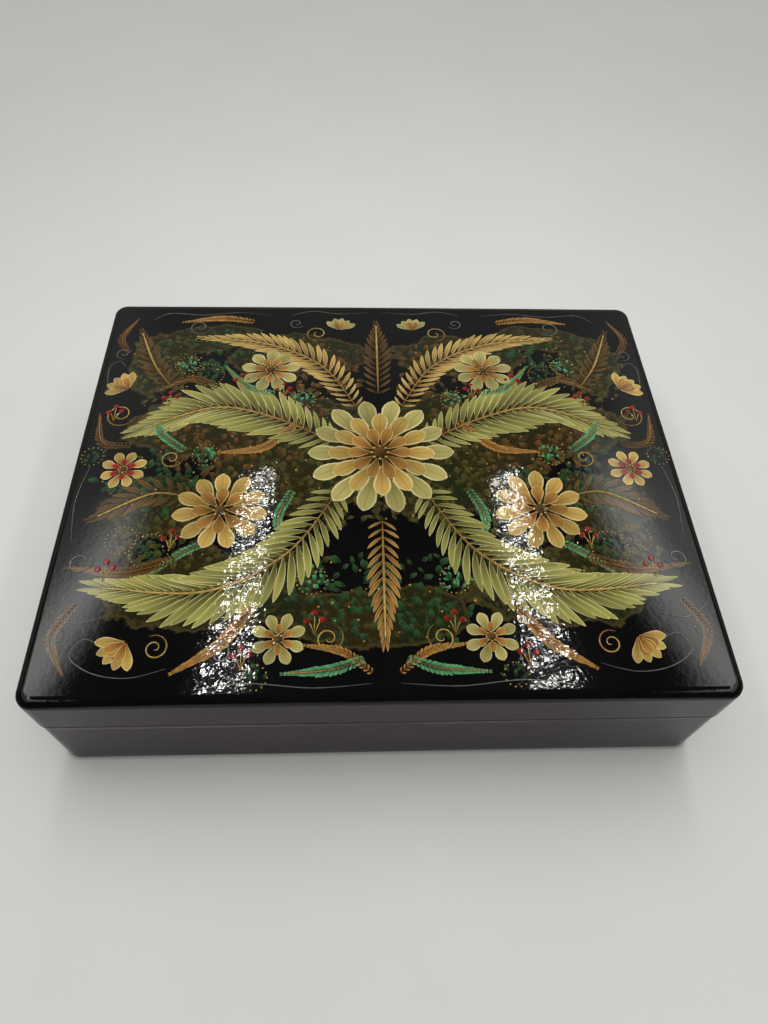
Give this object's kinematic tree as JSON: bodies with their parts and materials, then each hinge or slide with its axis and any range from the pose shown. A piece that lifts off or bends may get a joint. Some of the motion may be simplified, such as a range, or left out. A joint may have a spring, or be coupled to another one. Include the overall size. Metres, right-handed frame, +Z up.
{
  "type": "hinged lacquer box",
  "caption": "Shallow rectangular papier-mache box with a gently domed lid hinged at the back, an inner collar that centres the lid, and brass hinges set into the walls",
  "frame": {"origin": "middle of the underside, on the surface the box stands on", "axes": "+X to the right as seen from the front, +Y to the hinged back, +Z up"},
  "size_m": [0.2, 0.16, 0.05],
  "materials": {
    "black_lacquer": "gloss",
    "red_lacquer": "gloss",
    "brass": "satin",
    "pin_steel": "satin"
  },
  "bodies": {
    "base": {"base_wall": "black_lacquer", "base_floor": "red_lacquer", "inner_collar": "red_lacquer", "base_hinge_tacks": "brass", "hinge_left_base_leaf": "brass", "hinge_right_base_leaf": "brass", "hinge_left_pin": "pin_steel", "hinge_right_pin": "pin_steel"},
    "lid": {"lid_rim": "black_lacquer", "lid_top": "black_lacquer", "lid_hinge_tacks": "brass", "hinge_left_lid_leaf": "brass", "hinge_right_lid_leaf": "brass"}
  },
  "joints": [
    {"name": "lid_hinge", "type": "hinge", "parent": "base", "child": "lid", "pos_m": [0, 0.07845, 0.029], "axis": [-1, 0, 0], "range_deg": [0, 105]}
  ]
}
